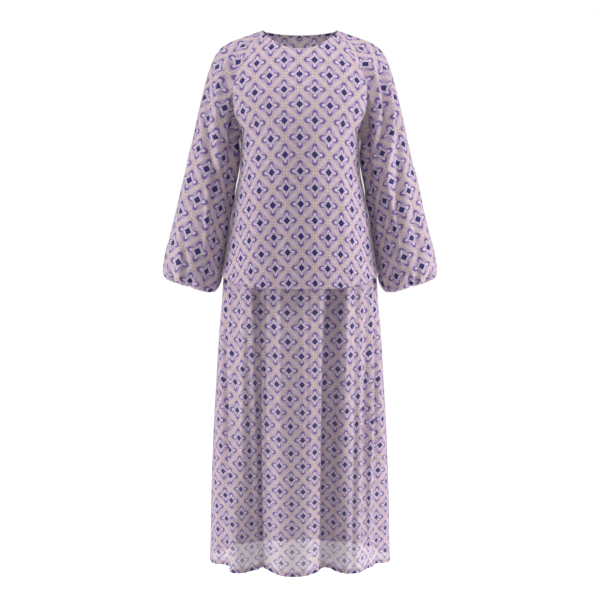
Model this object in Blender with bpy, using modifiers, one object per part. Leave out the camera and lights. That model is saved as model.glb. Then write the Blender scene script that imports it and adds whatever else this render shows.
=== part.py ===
"""Baju kurung: a loose raglan blouse with full gathered sleeves, over a long flared skirt.

Metres, +Z up. The front faces -Y. The origin is the middle of the neck opening, where the
wearer's neck and shoulders hold the set up. Left and right are the wearer's: left is +X.
"""
import math
from collections import namedtuple

import bmesh
import bpy
from mathutils import Vector

# Cloth walls, and the gap that two sewn pieces keep along their seam.
WALL = 0.0012
BAND_WALL = 0.0020
SEAM_GAP = 0.0004

# How finely the sheets are divided.
RAGLAN_STEPS = 18
SHOULDER_STEPS = 4
SLEEVE_AROUND = 2 * RAGLAN_STEPS + SHOULDER_STEPS
CAP_STEPS = 5
PANEL_ACROSS = 14
SKIRT_ACROSS = 36
SKIRT_DOWN = 12

# Gathers: how many, and how far they stand in and out.
CUFF_GATHERS = 10
CUFF_GATHER_DEPTH = 0.0042
WAIST_GATHERS = 9
WAIST_GATHER_DEPTH = 0.0035

# A gather stands out by an even share of its depth, and by a share that swings round the cuff.
GATHER_EVEN = 0.8
GATHER_SWING = 0.2
GATHER_START = 0.7

# The turned casings that hold the elastic, and how far they stay off the edge they are sewn to.
CUFF_CASING_HEIGHT = 0.014
CUFF_CASING_GAP = 0.0010
WAISTBAND_HEIGHT = 0.036
WAISTBAND_GAP = 0.0012

# Powers by which folds fade towards a side seam, and grow down the blouse and in the skirt's hem.
SEAM_FADE = 6
BLOUSE_FOLD_GROWTH = 1.5
HEM_LIFT_GROWTH = 4

# The neckline bows out and up by this much over the shoulder, between the two raglan seams.
SHOULDER_SWELL = Vector((0.0045, 0.0, 0.0055))

# The place on the sleeve's rows whose direction from the first row a cap line takes as it arrives.
ARRIVAL_PLACE = 0.25

# A panel's section: its middle (y, z), its seam edge (x, y, z), the angle in degrees that half of it
# turns through, and the power by which its height runs from the middle's to the edge's.
PanelRow = namedtuple("PanelRow", "mid_y mid_z edge_x edge_y edge_z spread bow")

RAGLAN_END = 8
BLOUSE_FRONT_ROWS = (
    PanelRow(-0.078, -0.029, 0.0925, -0.012, 0.0162, 75, 2.1),  # neckline
    PanelRow(-0.086, -0.052, 0.1083, -0.036, -0.0064, 66, 2.0),
    PanelRow(-0.095, -0.078, 0.1243, -0.050, -0.0303, 60, 2.0),
    PanelRow(-0.105, -0.106, 0.1402, -0.061, -0.0589, 58, 2.0),
    PanelRow(-0.114, -0.136, 0.1580, -0.068, -0.0943, 58, 2.0),
    PanelRow(-0.121, -0.168, 0.1680, -0.069, -0.1317, 60, 2.0),
    PanelRow(-0.126, -0.200, 0.1680, -0.061, -0.1709, 64, 2.0),  # fullest chest
    PanelRow(-0.129, -0.228, 0.1612, -0.040, -0.2072, 74, 2.0),
    PanelRow(-0.131, -0.254, 0.1533, 0.000, -0.2454, 90, 2.0),  # underarm
    PanelRow(-0.133, -0.300, 0.1522, 0.000, -0.2960, 90, 2.0),
    PanelRow(-0.135, -0.342, 0.1544, 0.000, -0.3345, 90, 2.0),
    PanelRow(-0.138, -0.390, 0.1627, 0.000, -0.3780, 90, 2.4),
    PanelRow(-0.144, -0.455, 0.1755, 0.000, -0.4470, 90, 3.0),
    PanelRow(-0.150, -0.515, 0.1844, 0.000, -0.5034, 90, 4.0),
    PanelRow(-0.157, -0.574, 0.1928, 0.000, -0.5573, 90, 5.0),
    PanelRow(-0.162, -0.625, 0.1976, 0.000, -0.5933, 90, 5.6),  # hem
)
BLOUSE_BACK_ROWS = (
    PanelRow(0.066, 0.019, 0.0885, 0.030, 0.0235, 66, 2.0),  # neckline
    PanelRow(0.078, -0.010, 0.1040, 0.049, 0.0030, 60, 2.0),
    PanelRow(0.090, -0.044, 0.1200, 0.062, -0.0240, 58, 2.0),
    PanelRow(0.100, -0.082, 0.1370, 0.072, -0.0560, 58, 2.0),
    PanelRow(0.107, -0.120, 0.1550, 0.078, -0.0940, 58, 2.0),
    PanelRow(0.110, -0.158, 0.1660, 0.078, -0.1320, 60, 2.0),  # fullest back
    PanelRow(0.110, -0.194, 0.1675, 0.067, -0.1710, 64, 2.0),
    PanelRow(0.109, -0.226, 0.1612, 0.043, -0.2072, 74, 2.0),
    PanelRow(0.108, -0.254, 0.1533, 0.000, -0.2454, 90, 2.0),  # underarm
    PanelRow(0.106, -0.300, 0.1522, 0.000, -0.2960, 90, 2.0),
    PanelRow(0.106, -0.342, 0.1544, 0.000, -0.3345, 90, 2.0),
    PanelRow(0.110, -0.390, 0.1627, 0.000, -0.3780, 90, 2.4),
    PanelRow(0.122, -0.455, 0.1755, 0.000, -0.4470, 90, 3.0),
    PanelRow(0.136, -0.515, 0.1844, 0.000, -0.5034, 90, 4.0),
    PanelRow(0.147, -0.574, 0.1928, 0.000, -0.5573, 90, 5.0),
    PanelRow(0.154, -0.625, 0.1976, 0.000, -0.5933, 90, 5.6),  # hem
)

# How the sleeve leaves the raglan seam, from the underarm (0) over the front to the shoulder (0.5):
# direction, the pulls that round the cap as it leaves the seam and as it arrives at the upper arm, and
# how far the sleeve's edge stays off the seam line.
CapRow = namedtuple("CapRow", "around way_x way_y way_z pull arrive ease")
CAP_ROWS = (
    CapRow(0.00, 0.90, 0.00, -0.44, 0.040, 0.030, 0.0019),  # underarm
    CapRow(0.12, 0.66, 0.40, -0.64, 0.090, 0.068, 0.0014),
    CapRow(0.25, 0.66, 0.34, -0.67, 0.160, 0.120, 0.0011),
    CapRow(0.36, 0.84, 0.06, -0.58, 0.300, 0.260, 0.0010),
    CapRow(0.44, 0.94, -0.02, -0.56, 0.394, 0.550, 0.0010),
    CapRow(0.50, 0.97, 0.00, -0.38, 0.386, 0.709, 0.0010),  # shoulder point
)

# A sleeve ring: its inner and its outer point (x, z), its middle y, its half depth front to back, and
# how far its gathers have grown, from 0 to 1.
SleeveRow = namedtuple("SleeveRow", "in_x in_z out_x out_z mid_y half_depth gather")
SLEEVE_ROWS = (
    SleeveRow(0.1600, -0.2880, 0.2680, -0.2150, 0.020, 0.074, 0.0),  # upper arm
    SleeveRow(0.1600, -0.3350, 0.2850, -0.2900, 0.024, 0.078, 0.0),
    SleeveRow(0.1660, -0.3900, 0.3030, -0.3620, 0.025, 0.081, 0.0),
    SleeveRow(0.1770, -0.4450, 0.3180, -0.4250, 0.025, 0.084, 0.0),  # elbow
    SleeveRow(0.1860, -0.5050, 0.3340, -0.4920, 0.023, 0.086, 0.1),
    SleeveRow(0.1950, -0.5560, 0.3480, -0.5480, 0.020, 0.085, 0.3),
    SleeveRow(0.2020, -0.5980, 0.3520, -0.5850, 0.016, 0.079, 0.6),  # widest
    SleeveRow(0.2110, -0.6260, 0.3460, -0.6045, 0.012, 0.068, 0.9),
    SleeveRow(0.2290, -0.6430, 0.3350, -0.6125, 0.010, 0.053, 1.0),  # lowest, turns under
    SleeveRow(0.2460, -0.6420, 0.3270, -0.6115, 0.010, 0.041, 0.8),
    SleeveRow(0.2570, -0.6300, 0.3250, -0.6035, 0.010, 0.035, 0.5),  # gathered into the cuff
)

# A skirt section: its height, half width and half depth in front and behind, and how far the waist
# gathers and the long folds have grown.
SkirtRow = namedtuple("SkirtRow", "z half_width front_depth back_depth gather fold")
SKIRT_ROWS = (
    SkirtRow(-0.3920, 0.1180, 0.094, 0.090, 1.0, 0.00),  # waist
    SkirtRow(-0.4500, 0.1480, 0.113, 0.106, 1.0, 0.06),
    SkirtRow(-0.5200, 0.1745, 0.129, 0.122, 0.7, 0.16),
    SkirtRow(-0.5933, 0.1957, 0.141, 0.134, 0.3, 0.28),  # side hem of the blouse
    SkirtRow(-0.6630, 0.2009, 0.152, 0.143, 0.1, 0.38),
    SkirtRow(-0.7664, 0.2100, 0.163, 0.152, 0.0, 0.50),
    SkirtRow(-0.8703, 0.2164, 0.173, 0.161, 0.0, 0.60),
    SkirtRow(-0.9746, 0.2228, 0.182, 0.170, 0.0, 0.70),
    SkirtRow(-1.0793, 0.2280, 0.190, 0.179, 0.0, 0.80),
    SkirtRow(-1.1844, 0.2315, 0.197, 0.187, 0.0, 0.88),
    SkirtRow(-1.2900, 0.2335, 0.203, 0.194, 0.0, 0.96),
    SkirtRow(-1.3340, 0.2342, 0.205, 0.196, 0.0, 1.00),  # hem
)
HEM_LIFT = 0.16  # share of a fold's depth by which its hem rises

# A long fold on half of the skirt, across from -1 to 1: where it runs at the hip and at the hem, its
# depth at the hem, and how wide it is on its -X and its +X side.
Fold = namedtuple("Fold", "hip hem depth width_low width_high")
SKIRT_FRONT_FOLDS = (
    Fold(-0.70, -0.66, 0.020, 0.08, 0.10),
    Fold(-0.47, -0.45, -0.014, 0.08, 0.06),
    Fold(-0.33, -0.315, 0.052, 0.07, 0.13),
    Fold(0.26, 0.215, 0.050, 0.13, 0.08),
    Fold(0.52, 0.55, 0.014, 0.06, 0.07),
    Fold(0.74, 0.72, 0.022, 0.10, 0.07),
)
SKIRT_BACK_FOLDS = (
    Fold(-0.72, -0.68, 0.024, 0.09, 0.08),
    Fold(-0.42, -0.40, 0.018, 0.08, 0.07),
    Fold(-0.12, -0.15, 0.054, 0.10, 0.09),
    Fold(0.22, 0.26, 0.044, 0.09, 0.10),
    Fold(0.50, 0.48, 0.020, 0.07, 0.08),
    Fold(0.73, 0.70, 0.026, 0.08, 0.09),
)
# The blouse hangs nearly straight: its soft folds only show towards the hem.
BLOUSE_FRONT_FOLDS = (
    Fold(-0.68, -0.72, 0.006, 0.09, 0.10),
    Fold(-0.10, -0.14, 0.003, 0.12, 0.12),
    Fold(0.34, 0.40, 0.004, 0.10, 0.12),
    Fold(0.64, 0.70, 0.007, 0.11, 0.09),
)
BLOUSE_BACK_FOLDS = (
    Fold(-0.56, -0.60, 0.010, 0.11, 0.12),
    Fold(-0.18, -0.20, 0.012, 0.12, 0.12),
    Fold(0.24, 0.22, 0.011, 0.12, 0.12),
    Fold(0.60, 0.64, 0.010, 0.12, 0.10),
)
FRONT = -1
BACK = 1


def limited_slope(before, after):
    """Slope at a table row that never overshoots its neighbours."""
    if before * after <= 0.0:
        return 0.0
    return 2.0 * before * after / (before + after)


def blend(a, b, c, d, t):
    """Smooth value from b (t = 0) to c (t = 1), with a and d as the values beyond them."""
    start = limited_slope(b - a, c - b)
    end = limited_slope(c - b, d - c)
    bend = (t ** 3 - 2 * t ** 2 + t) * start + (t ** 3 - t ** 2) * end
    return b + (c - b) * (3 * t ** 2 - 2 * t ** 3) + bend


def section(rows, place):
    """The table's row at a place from 0 to its last row, with every column blended."""
    at = min(int(place), len(rows) - 2)
    low, high = rows[at], rows[at + 1]
    before = rows[at - 1] if at > 0 else [2 * p - q for p, q in zip(low, high)]
    after = rows[at + 2] if at + 2 < len(rows) else [2 * q - p for p, q in zip(low, high)]
    columns = zip(before, low, high, after)
    return type(low)(*(blend(*values, place - at) for values in columns))


def fold_depth(folds, u, down):
    """How far the folds push the cloth in at u across and down from 0 at the hip to 1 at the hem."""
    depth = 0.0
    for fold in folds:
        away = u - (fold.hip + (fold.hem - fold.hip) * down)
        width = fold.width_low if away < 0.0 else fold.width_high
        depth += fold.depth * math.exp(-((away / width) ** 2))
    return depth


def fade_at_seam(u):
    """1 over most of a panel and 0 at its side seams, where two panels must meet."""
    return 1.0 - abs(u) ** SEAM_FADE


def panel_point(rows, folds, side, u, place):
    """A point on a blouse panel: u runs from -1 to 1 across it, place down its rows."""
    row = section(rows, place)
    reach = math.radians(row.spread)
    x = row.edge_x * math.sin(u * reach) / math.sin(reach)
    share = (math.cos(u * reach) - math.cos(reach)) / (1.0 - math.cos(reach))
    y = row.edge_y + (row.mid_y - row.edge_y) * share
    z = row.mid_z + (row.edge_z - row.mid_z) * abs(x / row.edge_x) ** row.bow
    down = max(0.0, (place - RAGLAN_END) / (len(rows) - 1 - RAGLAN_END))
    y -= side * fold_depth(folds, u, down) * down ** BLOUSE_FOLD_GROWTH * fade_at_seam(u)
    return Vector((x, y + side * SEAM_GAP / 2, z))


def blouse_front_point(u, place):
    return panel_point(BLOUSE_FRONT_ROWS, BLOUSE_FRONT_FOLDS, FRONT, u, place)


def blouse_back_point(u, place):
    return panel_point(BLOUSE_BACK_ROWS, BLOUSE_BACK_FOLDS, BACK, u, place)


def raglan_loop(around):
    """The left sleeve's seam line: underarm, front seam, neck, back seam, for around from 0 to 1."""
    seam_share = RAGLAN_STEPS / SLEEVE_AROUND
    if around <= seam_share:
        return blouse_front_point(1.0, RAGLAN_END * (1.0 - around / seam_share))
    if around >= 1.0 - seam_share:
        return blouse_back_point(1.0, RAGLAN_END * (1.0 - (1.0 - around) / seam_share))
    front_neck = blouse_front_point(1.0, 0.0)
    back_neck = blouse_back_point(1.0, 0.0)
    along = (around - seam_share) / (1.0 - 2.0 * seam_share)
    return front_neck.lerp(back_neck, along) + math.sin(math.pi * along) * SHOULDER_SWELL


def sleeve_ring(around, place):
    """A point on the left sleeve below its cap: place runs down the sleeve rows."""
    row = section(SLEEVE_ROWS, place)
    inner = Vector((row.in_x, row.mid_y, row.in_z))
    outer = Vector((row.out_x, row.mid_y, row.out_z))
    turn = 2.0 * math.pi * around
    arm = (outer - inner) / 2.0
    way = -math.cos(turn) * arm + Vector((0.0, -row.half_depth * math.sin(turn), 0.0))
    height = GATHER_EVEN + GATHER_SWING * math.sin(2.0 * turn + GATHER_START)
    wave = CUFF_GATHER_DEPTH * row.gather * math.cos(CUFF_GATHERS * turn) * height
    return (inner + outer) / 2.0 + way + way.normalized() * wave


def cap_leaving(around):
    """The cap table's row for a place round the sleeve; the back mirrors the front."""
    half = min(around, 1.0 - around)
    at = 0
    while CAP_ROWS[at + 1].around < half:
        at += 1
    low, high = CAP_ROWS[at], CAP_ROWS[at + 1]
    place = at + (half - low.around) / (high.around - low.around)
    row = section(CAP_ROWS, place)
    return row if around <= 0.5 else row._replace(way_y=-row.way_y)


def sleeve_point(around, place):
    """A point on the left sleeve: place is -1 at the raglan seam, 0 at the upper arm, then its rows."""
    if place >= 0.0:
        return sleeve_ring(around, place)
    t = place + 1.0
    leave = cap_leaving(around)
    way = Vector((leave.way_x, leave.way_y, leave.way_z)).normalized()
    start = raglan_loop(around) + way * leave.ease
    end = sleeve_ring(around, 0.0)
    onward = (sleeve_ring(around, ARRIVAL_PLACE) - end).normalized()
    near = 2 * t ** 3 - 3 * t ** 2 + 1
    far = 3 * t ** 2 - 2 * t ** 3
    leaving = (t ** 3 - 2 * t ** 2 + t) * leave.pull
    arriving = (t ** 3 - t ** 2) * leave.arrive
    return start * near + end * far + way * leaving + onward * arriving


def cuff_point(around, up):
    """A point on the left cuff casing, which stands up inside the sleeve from its gathered end."""
    last = len(SLEEVE_ROWS) - 1
    row = SLEEVE_ROWS[last]
    foot = sleeve_ring(around, last)
    arm = Vector((row.out_x - row.in_x, 0.0, row.out_z - row.in_z)).normalized()
    rise = Vector((-arm.z, 0.0, arm.x))
    return foot + rise * (CUFF_CASING_GAP + CUFF_CASING_HEIGHT * up)


def skirt_point(side, u, place):
    """A point on half of the skirt: u runs from -1 to 1 across it, place down its rows."""
    row = section(SKIRT_ROWS, place)
    depth = row.front_depth if side == FRONT else row.back_depth
    folds = SKIRT_FRONT_FOLDS if side == FRONT else SKIRT_BACK_FOLDS
    turn = u * math.pi / 2.0
    x = row.half_width * math.sin(turn)
    y = side * depth * math.cos(turn)
    outward = Vector((math.sin(turn) / row.half_width, side * math.cos(turn) / depth, 0.0)).normalized()
    down = place / (len(SKIRT_ROWS) - 1)
    inward = fold_depth(folds, u, down) * row.fold * fade_at_seam(u)
    inward -= WAIST_GATHER_DEPTH * row.gather * math.cos(WAIST_GATHERS * turn * 2.0) * fade_at_seam(u)
    lift = HEM_LIFT * max(0.0, inward) * down ** HEM_LIFT_GROWTH
    return Vector((x, y + side * SEAM_GAP / 2, row.z + lift)) - outward * inward


def waistband_point(around, up):
    """A point on the waist casing, over the skirt's gathered top edge."""
    side = FRONT if around < 0.5 else BACK
    u = 4.0 * around - 1.0 if around < 0.5 else 3.0 - 4.0 * around
    foot = skirt_point(side, u, 0.0)
    return foot + Vector((0.0, 0.0, WAISTBAND_GAP + WAISTBAND_HEIGHT * up))


def steps(low, high, count):
    """count equal steps from low to high, both ends included."""
    return [low + (high - low) * k / count for k in range(count + 1)]


def cloth_material(name, colour):
    """A soft printed crepe chiffon in one colour."""
    material = bpy.data.materials.new(name)
    material.use_nodes = True
    shader = material.node_tree.nodes["Principled BSDF"]
    shader.inputs["Base Color"].default_value = (*colour, 1.0)
    shader.inputs["Roughness"].default_value = 0.8
    shader.inputs["Metallic"].default_value = 0.0
    shader.inputs["Sheen Weight"].default_value = 0.3
    material.diffuse_color = (*colour, 1.0)
    return material


def sheet(name, point, across, down, colour, wall=WALL, closed=False, flip=False):
    """A cloth wall: a grid of points from point(across, down), given its thickness by Solidify."""
    bm = bmesh.new()
    grid = [[bm.verts.new(point(u, v)) for u in across] for v in down]
    columns = len(across) if closed else len(across) - 1
    for upper, lower in zip(grid, grid[1:]):
        for i in range(columns):
            k = (i + 1) % len(across)
            corners = (upper[i], lower[i], lower[k], upper[k])
            bm.faces.new(corners[::-1] if flip else corners)
    mesh = bpy.data.meshes.new(name)
    bm.to_mesh(mesh)
    bm.free()
    mesh.shade_smooth()
    mesh.materials.append(cloth_material(name, colour))
    piece = bpy.data.objects.new(name, mesh)
    bpy.data.collections["baju_kurung"].objects.link(piece)
    thickness = piece.modifiers.new("wall", "SOLIDIFY")
    thickness.thickness = wall
    thickness.offset = 0.0
    return piece


def mirrored(point):
    """The same point function on the wearer's right."""
    def on_right(u, v):
        place = point(u, v)
        return Vector((-place.x, place.y, place.z))
    return on_right


def build_blouse():
    across = steps(-1.0, 1.0, PANEL_ACROSS)
    raglan = steps(0, RAGLAN_END, RAGLAN_STEPS)
    down = raglan + list(range(RAGLAN_END + 1, len(BLOUSE_FRONT_ROWS)))
    sheet("blouse_front", blouse_front_point, across, down, (0.46, 0.37, 0.47))
    sheet("blouse_back", blouse_back_point, across, down, (0.40, 0.32, 0.42), flip=True)


def build_sleeves():
    around = steps(0.0, 1.0, SLEEVE_AROUND)[:-1]
    cap = steps(-1.0, 0.0, CAP_STEPS)
    down = cap + list(range(1, len(SLEEVE_ROWS)))
    sheet("sleeve_left", sleeve_point, around, down, (0.44, 0.36, 0.48), closed=True)
    sheet("sleeve_right", mirrored(sleeve_point), around, down, (0.44, 0.36, 0.48), closed=True, flip=True)
    sheet("cuff_left", cuff_point, around, (1.0, 0.0), (0.36, 0.28, 0.40), closed=True)
    sheet("cuff_right", mirrored(cuff_point), around, (1.0, 0.0), (0.36, 0.28, 0.40), closed=True, flip=True)


def build_skirt():
    across = steps(-1.0, 1.0, SKIRT_ACROSS)
    down = steps(0, len(SKIRT_ROWS) - 1, SKIRT_DOWN)
    sheet("skirt_front", lambda u, v: skirt_point(FRONT, u, v), across, down, (0.43, 0.34, 0.45))
    sheet("skirt_back", lambda u, v: skirt_point(BACK, u, v), across, down, (0.38, 0.30, 0.41), flip=True)
    around = steps(0.0, 1.0, 2 * SKIRT_ACROSS)[:-1]
    sheet("skirt_waistband", waistband_point, around, (1.0, 0.0), (0.36, 0.28, 0.40), wall=BAND_WALL,
          closed=True)


def main():
    for leftover in list(bpy.data.objects):
        bpy.data.objects.remove(leftover, do_unlink=True)
    collection = bpy.data.collections.new("baju_kurung")
    bpy.context.scene.collection.children.link(collection)
    build_blouse()
    build_sleeves()
    build_skirt()


main()
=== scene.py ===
"""Baju kurung in printed crepe chiffon: a raglan blouse with full sleeves over a long skirt.

Every sheet of cloth is laid on the form of its solid in the frame, at a finer scale, with the
creases of the hanging cloth and the print that runs along its cut. Metres, front towards -Y.
"""
import math
from collections import namedtuple

import bpy
import numpy as np
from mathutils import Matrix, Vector


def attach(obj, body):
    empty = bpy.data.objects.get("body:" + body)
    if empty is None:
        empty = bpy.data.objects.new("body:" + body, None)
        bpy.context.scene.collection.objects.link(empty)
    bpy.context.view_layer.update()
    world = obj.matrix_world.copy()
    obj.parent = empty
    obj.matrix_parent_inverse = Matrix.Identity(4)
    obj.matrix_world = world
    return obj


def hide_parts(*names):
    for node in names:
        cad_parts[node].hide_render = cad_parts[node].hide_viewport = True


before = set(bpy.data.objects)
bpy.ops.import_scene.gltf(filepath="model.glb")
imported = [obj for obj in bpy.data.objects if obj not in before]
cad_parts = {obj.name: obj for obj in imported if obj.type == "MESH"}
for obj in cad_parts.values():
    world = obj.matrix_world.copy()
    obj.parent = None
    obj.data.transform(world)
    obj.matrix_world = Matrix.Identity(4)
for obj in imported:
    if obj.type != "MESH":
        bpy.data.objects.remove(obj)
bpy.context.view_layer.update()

# Form of the garment, as its solids have it

PanelRow = namedtuple("PanelRow", "mid_y mid_z edge_x edge_y edge_z spread bow")

RAGLAN_END = 8
BLOUSE_FRONT_ROWS = (
    PanelRow(-0.078, -0.029, 0.0925, -0.012, 0.0162, 75, 2.1),  # neckline
    PanelRow(-0.086, -0.052, 0.1083, -0.036, -0.0064, 66, 2.0),
    PanelRow(-0.095, -0.078, 0.1243, -0.050, -0.0303, 60, 2.0),
    PanelRow(-0.105, -0.106, 0.1402, -0.061, -0.0589, 58, 2.0),
    PanelRow(-0.114, -0.136, 0.1580, -0.068, -0.0943, 58, 2.0),
    PanelRow(-0.121, -0.168, 0.1680, -0.069, -0.1317, 60, 2.0),
    PanelRow(-0.126, -0.200, 0.1680, -0.061, -0.1709, 64, 2.0),  # fullest chest
    PanelRow(-0.129, -0.228, 0.1612, -0.040, -0.2072, 74, 2.0),
    PanelRow(-0.131, -0.254, 0.1533, 0.000, -0.2454, 90, 2.0),  # underarm
    PanelRow(-0.133, -0.300, 0.1522, 0.000, -0.2960, 90, 2.0),
    PanelRow(-0.135, -0.342, 0.1544, 0.000, -0.3345, 90, 2.0),
    PanelRow(-0.138, -0.390, 0.1627, 0.000, -0.3780, 90, 2.4),
    PanelRow(-0.144, -0.455, 0.1755, 0.000, -0.4470, 90, 3.0),
    PanelRow(-0.150, -0.515, 0.1844, 0.000, -0.5034, 90, 4.0),
    PanelRow(-0.157, -0.574, 0.1928, 0.000, -0.5573, 90, 5.0),
    PanelRow(-0.162, -0.625, 0.1976, 0.000, -0.5933, 90, 5.6),  # hem
)
BLOUSE_BACK_ROWS = (
    PanelRow(0.066, 0.019, 0.0885, 0.030, 0.0235, 66, 2.0),  # neckline
    PanelRow(0.078, -0.010, 0.1040, 0.049, 0.0030, 60, 2.0),
    PanelRow(0.090, -0.044, 0.1200, 0.062, -0.0240, 58, 2.0),
    PanelRow(0.100, -0.082, 0.1370, 0.072, -0.0560, 58, 2.0),
    PanelRow(0.107, -0.120, 0.1550, 0.078, -0.0940, 58, 2.0),
    PanelRow(0.110, -0.158, 0.1660, 0.078, -0.1320, 60, 2.0),  # fullest back
    PanelRow(0.110, -0.194, 0.1675, 0.067, -0.1710, 64, 2.0),
    PanelRow(0.109, -0.226, 0.1612, 0.043, -0.2072, 74, 2.0),
    PanelRow(0.108, -0.254, 0.1533, 0.000, -0.2454, 90, 2.0),  # underarm
    PanelRow(0.106, -0.300, 0.1522, 0.000, -0.2960, 90, 2.0),
    PanelRow(0.106, -0.342, 0.1544, 0.000, -0.3345, 90, 2.0),
    PanelRow(0.110, -0.390, 0.1627, 0.000, -0.3780, 90, 2.4),
    PanelRow(0.122, -0.455, 0.1755, 0.000, -0.4470, 90, 3.0),
    PanelRow(0.136, -0.515, 0.1844, 0.000, -0.5034, 90, 4.0),
    PanelRow(0.147, -0.574, 0.1928, 0.000, -0.5573, 90, 5.0),
    PanelRow(0.154, -0.625, 0.1976, 0.000, -0.5933, 90, 5.6),  # hem
)
CapRow = namedtuple("CapRow", "around way_x way_y way_z pull arrive")
CAP_ROWS = (
    CapRow(0.00, 0.90, 0.00, -0.44, 0.040, 0.030),  # underarm
    CapRow(0.12, 0.66, 0.40, -0.64, 0.090, 0.068),
    CapRow(0.25, 0.66, 0.34, -0.67, 0.160, 0.120),
    CapRow(0.36, 0.84, 0.06, -0.58, 0.300, 0.260),
    CapRow(0.44, 0.94, -0.02, -0.56, 0.394, 0.550),
    CapRow(0.50, 0.97, 0.00, -0.38, 0.386, 0.709),  # shoulder point
)
SleeveRow = namedtuple("SleeveRow", "in_x in_z out_x out_z mid_y half_depth gather")
SLEEVE_ROWS = (
    SleeveRow(0.1600, -0.2880, 0.2680, -0.2150, 0.020, 0.074, 0.0),  # upper arm
    SleeveRow(0.1600, -0.3350, 0.2850, -0.2900, 0.024, 0.078, 0.0),
    SleeveRow(0.1660, -0.3900, 0.3030, -0.3620, 0.025, 0.081, 0.0),
    SleeveRow(0.1770, -0.4450, 0.3180, -0.4250, 0.025, 0.084, 0.0),  # elbow
    SleeveRow(0.1860, -0.5050, 0.3340, -0.4920, 0.023, 0.086, 0.1),
    SleeveRow(0.1950, -0.5560, 0.3480, -0.5480, 0.020, 0.085, 0.3),
    SleeveRow(0.2020, -0.5980, 0.3520, -0.5850, 0.016, 0.079, 0.6),  # widest
    SleeveRow(0.2110, -0.6260, 0.3460, -0.6045, 0.012, 0.068, 0.9),
    SleeveRow(0.2290, -0.6430, 0.3350, -0.6125, 0.010, 0.053, 1.0),  # lowest, turns under
    SleeveRow(0.2460, -0.6420, 0.3270, -0.6115, 0.010, 0.041, 0.8),
    SleeveRow(0.2570, -0.6300, 0.3250, -0.6035, 0.010, 0.035, 0.5),  # gathered into the cuff
)
SLEEVE_WIDEST = 6
SkirtRow = namedtuple("SkirtRow", "z half_width front_depth back_depth gather fold")
SKIRT_ROWS = (
    SkirtRow(-0.3920, 0.1180, 0.094, 0.090, 1.0, 0.00),  # waist
    SkirtRow(-0.4500, 0.1480, 0.113, 0.106, 1.0, 0.06),
    SkirtRow(-0.5200, 0.1745, 0.129, 0.122, 0.7, 0.16),
    SkirtRow(-0.5933, 0.1957, 0.141, 0.134, 0.3, 0.28),  # side hem of the blouse
    SkirtRow(-0.6630, 0.2009, 0.152, 0.143, 0.1, 0.38),
    SkirtRow(-0.7664, 0.2100, 0.163, 0.152, 0.0, 0.50),
    SkirtRow(-0.8703, 0.2164, 0.173, 0.161, 0.0, 0.60),
    SkirtRow(-0.9746, 0.2228, 0.182, 0.170, 0.0, 0.70),
    SkirtRow(-1.0793, 0.2280, 0.190, 0.179, 0.0, 0.80),
    SkirtRow(-1.1844, 0.2315, 0.197, 0.187, 0.0, 0.88),
    SkirtRow(-1.2900, 0.2335, 0.203, 0.194, 0.0, 0.96),
    SkirtRow(-1.3340, 0.2342, 0.205, 0.196, 0.0, 1.00),  # hem
)
# A fold lifts the skirt's hem by a share of its depth. The blouse's folds grow from the underarm down.
# Folds fade out at the side seams.
HEM_LIFT = 0.16
HEM_LIFT_GROWTH = 4
BLOUSE_FOLD_GROWTH = 1.5
SEAM_FADE = 6
Fold = namedtuple("Fold", "hip hem depth width_low width_high")
SKIRT_FRONT_FOLDS = (
    (-0.70, -0.66, 0.020, 0.08, 0.10),
    (-0.47, -0.45, -0.014, 0.08, 0.06),
    (-0.33, -0.315, 0.052, 0.07, 0.13),
    (0.26, 0.215, 0.050, 0.13, 0.08),
    (0.52, 0.55, 0.014, 0.06, 0.07),
    (0.74, 0.72, 0.022, 0.10, 0.07),
)
SKIRT_BACK_FOLDS = (
    (-0.72, -0.68, 0.024, 0.09, 0.08),
    (-0.42, -0.40, 0.018, 0.08, 0.07),
    (-0.12, -0.15, 0.054, 0.10, 0.09),
    (0.22, 0.26, 0.044, 0.09, 0.10),
    (0.50, 0.48, 0.020, 0.07, 0.08),
    (0.73, 0.70, 0.026, 0.08, 0.09),
)
BLOUSE_FRONT_FOLDS = (
    (-0.68, -0.72, 0.006, 0.09, 0.10),
    (-0.10, -0.14, 0.003, 0.12, 0.12),
    (0.34, 0.40, 0.004, 0.10, 0.12),
    (0.64, 0.70, 0.007, 0.11, 0.09),
)
BLOUSE_BACK_FOLDS = (
    (-0.56, -0.60, 0.010, 0.11, 0.12),
    (-0.18, -0.20, 0.012, 0.12, 0.12),
    (0.24, 0.22, 0.011, 0.12, 0.12),
    (0.60, 0.64, 0.010, 0.12, 0.10),
)
FRONT = -1
BACK = 1

CUFF_GATHERS = 10
CUFF_GATHER_DEPTH = 0.0042
CUFF_CASING_HEIGHT = 0.014
WAIST_GATHERS = 9
WAIST_GATHER_DEPTH = 0.0035
WAISTBAND_HEIGHT = 0.036
SHOULDER_SWELL = (0.0045, 0.0, 0.0055)
RAGLAN_SHARE = 18 / 40  # of a sleeve's top edge, for each of its two raglan seams

# Gathers on elastic are uneven. Round a ring, their spacing and height change by a size, so many times,
# from an angle.
Drift = namedtuple("Drift", "size count start")
GATHER_SPACING = (Drift(0.10, 2.0, 0.7), Drift(0.05, 5.0, 2.1))
GATHER_HEIGHT = Drift(0.25, 3.0, 1.1)
PLEAT_SPACING = (Drift(0.16, 2.0, 0.4), Drift(0.07, 5.0, 1.9))
PLEAT_HEIGHT = Drift(0.35, 4.0, 2.4)
FINE_GATHERS = 0.35
FINE_GATHERS_START = 1.3

# Creases that the hanging cloth has, marked on each cut in metres: from (u, v) to (u, v) in the cut's
# own plane, how far the cloth stands out (or in, when negative), and the crease's half width. On the
# blouse u runs to the wearer's left from the middle and v down from the neck.

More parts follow.
